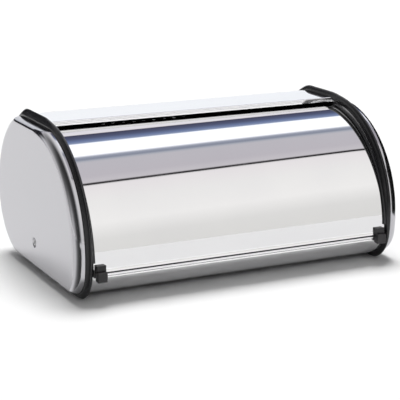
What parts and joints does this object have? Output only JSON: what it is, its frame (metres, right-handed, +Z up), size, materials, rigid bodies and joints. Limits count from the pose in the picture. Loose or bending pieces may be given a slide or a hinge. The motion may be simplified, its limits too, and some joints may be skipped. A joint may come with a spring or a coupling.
{
  "type": "roll-top bread box",
  "caption": "Long steel bread box with D-shaped ends in black frames and a curved lid that turns on end pivots and rolls back under the top panel.",
  "frame": {"origin": "on the table under the middle of the box's length and depth, rest pose with the lid closed", "axes": "+X runs along the box, from left to right as seen from the front; the lid's front faces -Y; +Z is up"},
  "size_m": [0.4364, 0.2936, 0.196],
  "materials": {
    "bright_steel": "bright bead-polished stainless sheet, close to a mirror",
    "satin_steel": "smooth stainless sheet, a little softer than the lid",
    "plain_steel": "plain mill-finish steel",
    "dark_steel": "dark plated steel",
    "black_plastic": "black moulded plastic with a soft sheen",
    "nylon": "natural nylon",
    "rubber": "matt black rubber"
  },
  "bodies": {
    "body": {"back_panel": "bright_steel", "base_tray": "bright_steel", "seam_rivets": "plain_steel", "left_end_plate": "plain_steel", "right_end_plate": "plain_steel", "left_end_frame": "black_plastic", "right_end_frame": "black_plastic", "left_end_cover": "satin_steel", "right_end_cover": "satin_steel", "left_frame_screws": "dark_steel", "right_frame_screws": "dark_steel", "left_pivot_screw": "dark_steel", "right_pivot_screw": "dark_steel", "left_spacer": "black_plastic", "right_spacer": "black_plastic", "left_pivot_bush": "nylon", "right_pivot_bush": "nylon", "left_pivot_washer": "plain_steel", "right_pivot_washer": "plain_steel", "left_cap_nut": "plain_steel", "right_cap_nut": "plain_steel", "front_left_foot": "rubber", "front_right_foot": "rubber", "rear_left_foot": "rubber", "rear_right_foot": "rubber"},
    "lid": {"lid_sheet": "bright_steel", "left_lid_arm": "plain_steel", "right_lid_arm": "plain_steel", "left_grip": "black_plastic", "right_grip": "black_plastic"}
  },
  "joints": [
    {"name": "lid_hinge", "type": "hinge", "parent": "body", "child": "lid", "pos_m": [0, 0.0012, 0.0413], "axis": [-1, 0, 0], "range_deg": [0, 77]}
  ]
}
